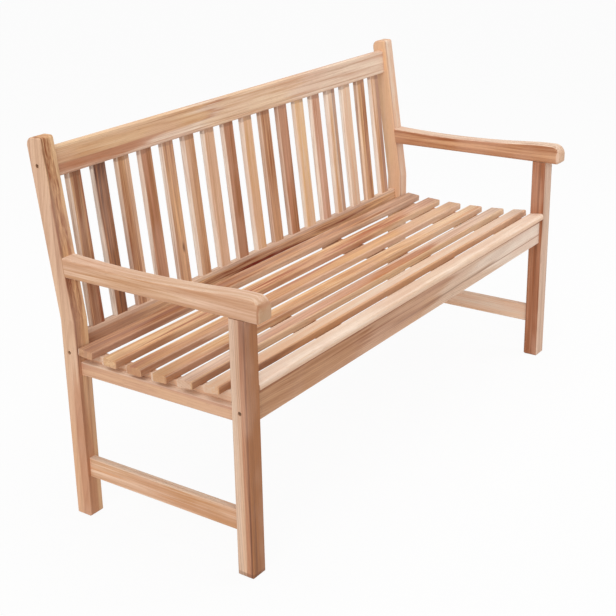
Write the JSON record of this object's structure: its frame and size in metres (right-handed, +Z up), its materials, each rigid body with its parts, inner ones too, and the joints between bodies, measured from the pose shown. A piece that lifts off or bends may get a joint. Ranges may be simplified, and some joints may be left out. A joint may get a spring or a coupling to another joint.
{
  "type": "garden bench",
  "caption": "Slatted garden bench in solid teak with raked posts, upright back slats, a dished slat seat, rounded armrests and side stretchers.",
  "frame": {"origin": "on the floor, at the middle of the overall length and depth", "axes": "+X along the bench, towards the end on the right of somebody facing it; +Y to the back; +Z up"},
  "size_m": [1.5, 0.6236, 0.92],
  "materials": {
    "frame_timber": "sanded, untreated teak",
    "seat_slat_timber": "sanded, untreated teak",
    "back_slat_timber": "sanded, untreated teak",
    "tenon_timber": "planed, untreated",
    "connector_bolts": "stainless, dulled",
    "barrel_nuts": "stainless"
  },
  "bodies": {
    "root": {"armrest_left": "frame_timber", "armrest_right": "frame_timber", "armrest_tenons": "tenon_timber", "back_slat_01": "back_slat_timber", "back_slat_02": "back_slat_timber", "back_slat_03": "back_slat_timber", "back_slat_04": "back_slat_timber", "back_slat_05": "back_slat_timber", "back_slat_06": "back_slat_timber", "back_slat_07": "back_slat_timber", "back_slat_08": "back_slat_timber", "back_slat_09": "back_slat_timber", "back_slat_10": "back_slat_timber", "back_slat_11": "back_slat_timber", "back_slat_12": "back_slat_timber", "back_slat_13": "back_slat_timber", "back_slat_14": "back_slat_timber", "back_slat_15": "back_slat_timber", "back_slat_16": "back_slat_timber", "back_slat_17": "back_slat_timber", "barrel_nuts": "barrel_nuts", "connector_bolts": "connector_bolts", "front_leg_left": "frame_timber", "front_leg_right": "frame_timber", "front_seat_rail": "frame_timber", "front_seat_slat": "seat_slat_timber", "lower_back_rail": "frame_timber", "rear_post_left": "frame_timber", "rear_post_right": "frame_timber", "seat_end_bearer_left": "frame_timber", "seat_end_bearer_right": "frame_timber", "seat_mid_bearer_left": "frame_timber", "seat_mid_bearer_right": "frame_timber", "seat_slat_1": "seat_slat_timber", "seat_slat_2": "seat_slat_timber", "seat_slat_3": "seat_slat_timber", "seat_slat_4": "seat_slat_timber", "seat_slat_5": "seat_slat_timber", "seat_slat_6": "seat_slat_timber", "seat_tenons": "tenon_timber", "side_seat_rail_left": "frame_timber", "side_seat_rail_right": "frame_timber", "side_stretcher_left": "frame_timber", "side_stretcher_right": "frame_timber", "top_rail": "frame_timber"}
  },
  "joints": []
}
